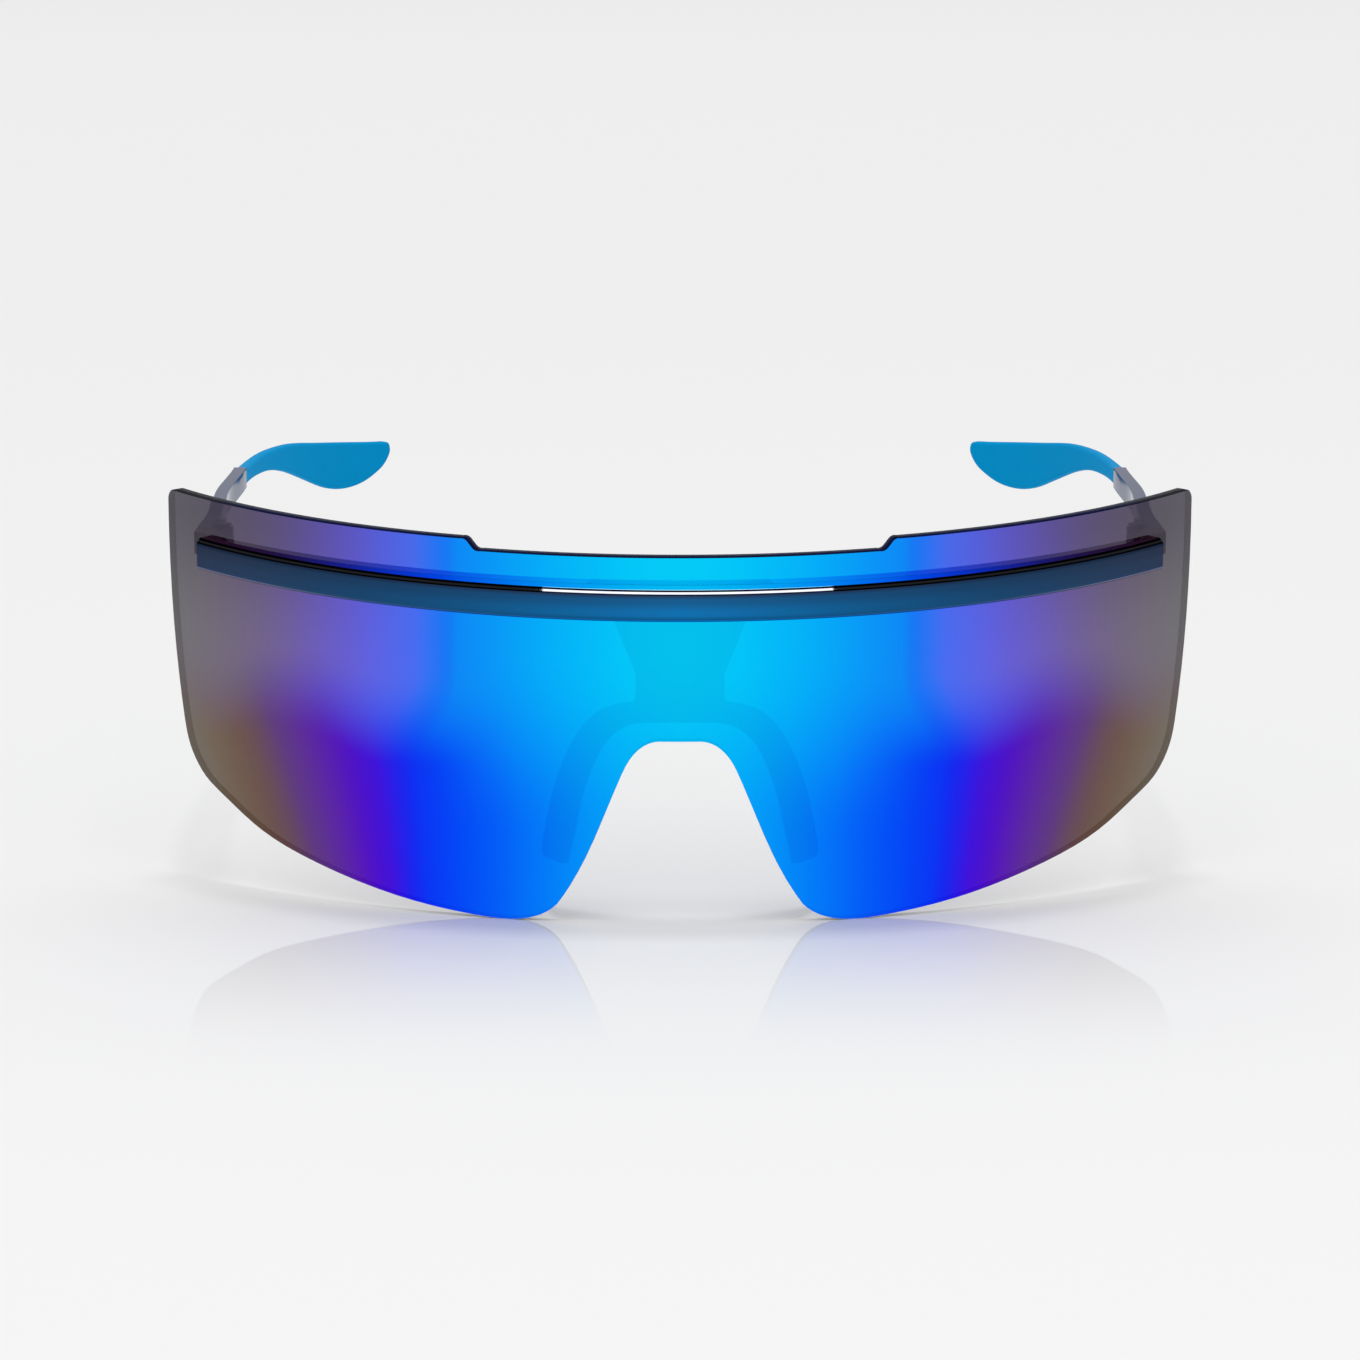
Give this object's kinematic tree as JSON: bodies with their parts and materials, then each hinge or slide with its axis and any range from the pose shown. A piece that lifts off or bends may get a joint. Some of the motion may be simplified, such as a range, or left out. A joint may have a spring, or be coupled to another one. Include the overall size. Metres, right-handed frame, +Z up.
{
  "type": "shield sunglasses",
  "caption": "Shield sunglasses: a bent mirror lens behind a slim brow bar, a nose bridge with a soft saddle pad, and slender temples that fold on screw hinges and end in rubber tips.",
  "frame": {"origin": "under the middle of the part with the temples open, at the level of the lens's lowest points", "axes": "+X to the wearer's left, +Y from the lens to the temple tips, +Z up as worn"},
  "size_m": [0.148, 0.1504, 0.0577],
  "materials": {
    "mirror_lens": "blue mirror coat on a tinted lens",
    "bar_metal": "satin navy",
    "bracket_metal": "satin gunmetal",
    "arm_steel": "polished",
    "fastener_steel": "plain",
    "nylon": "natural",
    "bridge_plastic": "moulded",
    "pad_rubber": "soft matte",
    "tip_rubber": "soft matte"
  },
  "bodies": {
    "front": {"shield_lens": "mirror_lens", "lens_sleeves": "nylon", "brow_bar": "bar_metal", "bracket_screws": "fastener_steel", "nose_bridge": "bridge_plastic", "bridge_screws": "fastener_steel", "nose_pad": "pad_rubber", "hinge_bracket_left": "bracket_metal", "hinge_bracket_right": "bracket_metal", "hinge_screw_left": "fastener_steel", "hinge_screw_right": "fastener_steel", "hinge_washers_left": "nylon", "hinge_washers_right": "nylon"},
    "temple_left": {"temple_arm_left": "arm_steel", "temple_leaf_left": "arm_steel", "leaf_rivets_left": "fastener_steel", "temple_tip_left": "tip_rubber"},
    "temple_right": {"temple_arm_right": "arm_steel", "temple_leaf_right": "arm_steel", "leaf_rivets_right": "fastener_steel", "temple_tip_right": "tip_rubber"}
  },
  "joints": [
    {"name": "left_fold", "type": "hinge", "parent": "front", "child": "temple_left", "pos_m": [0.06591, -0.03373, 0.04998], "axis": [0, 0, 1], "range_deg": [0, 90]},
    {"name": "right_fold", "type": "hinge", "parent": "front", "child": "temple_right", "pos_m": [-0.06591, -0.03373, 0.04998], "axis": [0, 0, -1], "range_deg": [0, 77]}
  ]
}
